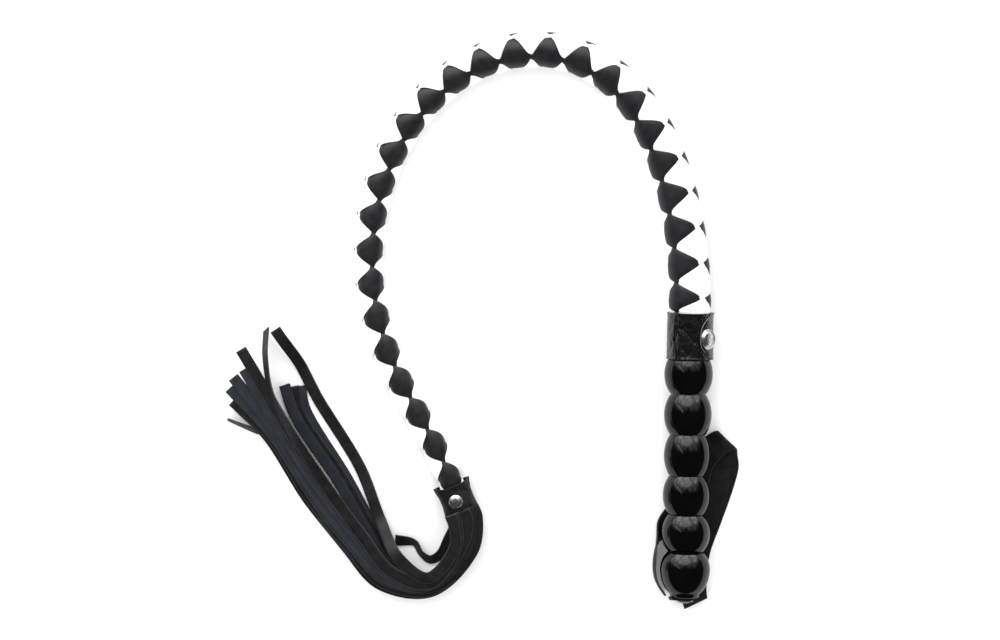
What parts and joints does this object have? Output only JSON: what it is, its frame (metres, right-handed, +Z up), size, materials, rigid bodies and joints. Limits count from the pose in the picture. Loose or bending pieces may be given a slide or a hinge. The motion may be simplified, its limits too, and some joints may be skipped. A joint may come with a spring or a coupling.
{
  "type": "braided lash whip",
  "caption": "Lash whip with a gloss black beaded grip, wrist strap, tapering black and white four-plait thong and a cut leather fringe.",
  "frame": {"origin": "on the plane the whip lies on, below the middle of its outline seen from above", "axes": "+Y along the grip from the pommel towards the thong; +Z up, away from the table the whip lies on; +X to the right seen from above"},
  "size_m": [0.3532, 0.3936, 0.0364],
  "materials": {
    "bead_gloss_black": "deep gloss black lacquer on turned beads, sharp reflections, faint handling scuffs",
    "collar_patent_black": "black patent leather wrap, wrinkled, with a glossy coated face",
    "braid_black_leather": "satin black coated leather straps with a fine grain and softly rounded edges",
    "braid_white_leather": "satin white coated leather straps with a fine grain",
    "core_cord": "twisted natural cord inside the braid",
    "fringe_black_leather": "soft black leather, smooth grain side and napped flesh side, cut edges",
    "wrist_black_leather": "matte black leather strap with paler cut edges",
    "nickel_plate": "polished nickel plate with small dull spots",
    "plain_steel": "plain turned steel",
    "stem_hardwood": "turned hardwood, unfinished"
  },
  "bodies": {
    "handle": {"handle_rod": "plain_steel", "grip_bead_1": "bead_gloss_black", "grip_bead_2": "bead_gloss_black", "grip_bead_3": "bead_gloss_black", "grip_bead_4": "bead_gloss_black", "grip_bead_5": "bead_gloss_black", "grip_bead_6": "bead_gloss_black", "stem_plug": "stem_hardwood", "collar_wrap": "collar_patent_black", "snap_cap": "nickel_plate", "snap_socket": "plain_steel", "wrist_strap_tab": "wrist_black_leather", "pommel_washer": "plain_steel", "pommel_screw": "plain_steel"},
    "thong_link_1": {"thong_core_1": "core_cord", "black_strap_a_1": "braid_black_leather", "white_strap_a_1": "braid_white_leather", "black_strap_b_1": "braid_black_leather", "white_strap_b_1": "braid_white_leather"},
    "thong_link_2": {"thong_core_2": "core_cord", "black_strap_a_2": "braid_black_leather", "white_strap_a_2": "braid_white_leather", "black_strap_b_2": "braid_black_leather", "white_strap_b_2": "braid_white_leather"},
    "thong_link_3": {"thong_core_3": "core_cord", "black_strap_a_3": "braid_black_leather", "white_strap_a_3": "braid_white_leather", "black_strap_b_3": "braid_black_leather", "white_strap_b_3": "braid_white_leather"},
    "thong_link_4": {"thong_core_4": "core_cord", "black_strap_a_4": "braid_black_leather", "white_strap_a_4": "braid_white_leather", "black_strap_b_4": "braid_black_leather", "white_strap_b_4": "braid_white_leather"},
    "thong_link_5": {"thong_core_5": "core_cord", "black_strap_a_5": "braid_black_leather", "white_strap_a_5": "braid_white_leather", "black_strap_b_5": "braid_black_leather", "white_strap_b_5": "braid_white_leather"},
    "thong_link_6": {"thong_core_6": "core_cord", "black_strap_a_6": "braid_black_leather", "white_strap_a_6": "braid_white_leather", "black_strap_b_6": "braid_black_leather", "white_strap_b_6": "braid_white_leather"},
    "tail": {"tail_wrap": "fringe_black_leather", "tail_core_end": "core_cord", "tail_rivet_cap": "nickel_plate", "tail_rivet_post": "plain_steel"},
    "fringe_01": {"fringe_strip_01": "fringe_black_leather"},
    "fringe_02": {"fringe_strip_02": "fringe_black_leather"},
    "fringe_03": {"fringe_strip_03": "fringe_black_leather"},
    "fringe_04": {"fringe_strip_04": "fringe_black_leather"},
    "fringe_05": {"fringe_strip_05": "fringe_black_leather"},
    "fringe_06": {"fringe_strip_06": "fringe_black_leather"},
    "fringe_07": {"fringe_strip_07": "fringe_black_leather"},
    "fringe_08": {"fringe_strip_08": "fringe_black_leather"},
    "fringe_09": {"fringe_strip_09": "fringe_black_leather"},
    "fringe_10": {"fringe_strip_10": "fringe_black_leather"},
    "fringe_11": {"fringe_strip_11": "fringe_black_leather"},
    "wrist_strap": {"wrist_strap_loop": "wrist_black_leather"}
  },
  "joints": [
    {"name": "thong_lift", "type": "hinge", "parent": "handle", "child": "thong_link_1", "pos_m": [0.13942, 0.00738, 0.01937], "axis": [1, 0, 0], "range_deg": [-20, 20]},
    {"name": "thong_bend_1", "type": "hinge", "parent": "thong_link_1", "child": "thong_link_2", "pos_m": [0.12387, 0.10517, 0.01797], "axis": [0, 0, 1], "range_deg": [-33, 8]},
    {"name": "thong_bend_2", "type": "hinge", "parent": "thong_link_2", "child": "thong_link_3", "pos_m": [0.06185, 0.17897, 0.01657], "axis": [0, 0, 1], "range_deg": [-33, 8]},
    {"name": "thong_bend_3", "type": "hinge", "parent": "thong_link_3", "child": "thong_link_4", "pos_m": [-0.03097, 0.15946, 0.01517], "axis": [0, 0, 1], "range_deg": [-33, 8]},
    {"name": "thong_bend_4", "type": "hinge", "parent": "thong_link_4", "child": "thong_link_5", "pos_m": [-0.07758, 0.07384, 0.01377], "axis": [0, 0, 1], "range_deg": [-33, 8]},
    {"name": "thong_bend_5", "type": "hinge", "parent": "thong_link_5", "child": "thong_link_6", "pos_m": [-0.0669, -0.02378, 0.01237], "axis": [0, 0, 1], "range_deg": [-22, 10]},
    {"name": "tail_swing", "type": "hinge", "parent": "thong_link_6", "child": "tail", "pos_m": [-0.02105, -0.11199, 0.01097], "axis": [0, 0, 1], "range_deg": [-10, 10]},
    {"name": "fringe_01_swing", "type": "hinge", "parent": "tail", "child": "fringe_01", "pos_m": [-0.0163, -0.13917, 0.01577], "axis": [0, 0, 1], "range_deg": [-4, 6]},
    {"name": "fringe_02_swing", "type": "hinge", "parent": "tail", "child": "fringe_02", "pos_m": [-0.01207, -0.13747, 0.01427], "axis": [0, 0, 1], "range_deg": [-4, 6]},
    {"name": "fringe_03_swing", "type": "hinge", "parent": "tail", "child": "fringe_03", "pos_m": [-0.01418, -0.13832, 0.01277], "axis": [0, 0, 1], "range_deg": [-0.62, 1.5]},
    {"name": "fringe_04_swing", "type": "hinge", "parent": "tail", "child": "fringe_04", "pos_m": [-0.01101, -0.13705, 0.01127], "axis": [0, 0, 1], "range_deg": [-1.25, 3]},
    {"name": "fringe_05_swing", "type": "hinge", "parent": "tail", "child": "fringe_05", "pos_m": [-0.01312, -0.1379, 0.00977], "axis": [0, 0, 1], "range_deg": [-1.88, 4.5]},
    {"name": "fringe_06_swing", "type": "hinge", "parent": "tail", "child": "fringe_06", "pos_m": [-0.00995, -0.13663, 0.00827], "axis": [0, 0, 1], "range_deg": [-2.5, 6]},
    {"name": "fringe_07_swing", "type": "hinge", "parent": "tail", "child": "fringe_07", "pos_m": [-0.00889, -0.1362, 0.00677], "axis": [0, 0, 1], "range_deg": [-3.12, 7.5]},
    {"name": "fringe_08_swing", "type": "hinge", "parent": "tail", "child": "fringe_08", "pos_m": [-0.00783, -0.13578, 0.00527], "axis": [0, 0, 1], "range_deg": [-3.75, 9]},
    {"name": "fringe_09_swing", "type": "hinge", "parent": "tail", "child": "fringe_09", "pos_m": [-0.00572, -0.13493, 0.00377], "axis": [0, 0, 1], "range_deg": [-4.38, 10.5]},
    {"name": "fringe_10_swing", "type": "hinge", "parent": "tail", "child": "fringe_10", "pos_m": [-0.00677, -0.13535, 0.00227], "axis": [0, 0, 1], "range_deg": [-5, 12]},
    {"name": "fringe_11_swing", "type": "hinge", "parent": "tail", "child": "fringe_11", "pos_m": [-0.0163, -0.13917, 0.00077], "axis": [0, 0, 1], "range_deg": [-12, 12]},
    {"name": "wrist_strap_swing", "type": "hinge", "parent": "handle", "child": "wrist_strap", "pos_m": [0.13942, -0.19202, 0.00687], "axis": [1, 0, 0], "range_deg": [-75, 0]}
  ],
  "couplings": [
    {"joint": "fringe_03_swing", "follows": "fringe_10_swing", "ratio": 0.125},
    {"joint": "fringe_04_swing", "follows": "fringe_10_swing", "ratio": 0.25},
    {"joint": "fringe_05_swing", "follows": "fringe_10_swing", "ratio": 0.375},
    {"joint": "fringe_06_swing", "follows": "fringe_10_swing", "ratio": 0.5},
    {"joint": "fringe_07_swing", "follows": "fringe_10_swing", "ratio": 0.625},
    {"joint": "fringe_08_swing", "follows": "fringe_10_swing", "ratio": 0.75},
    {"joint": "fringe_09_swing", "follows": "fringe_10_swing", "ratio": 0.875}
  ]
}
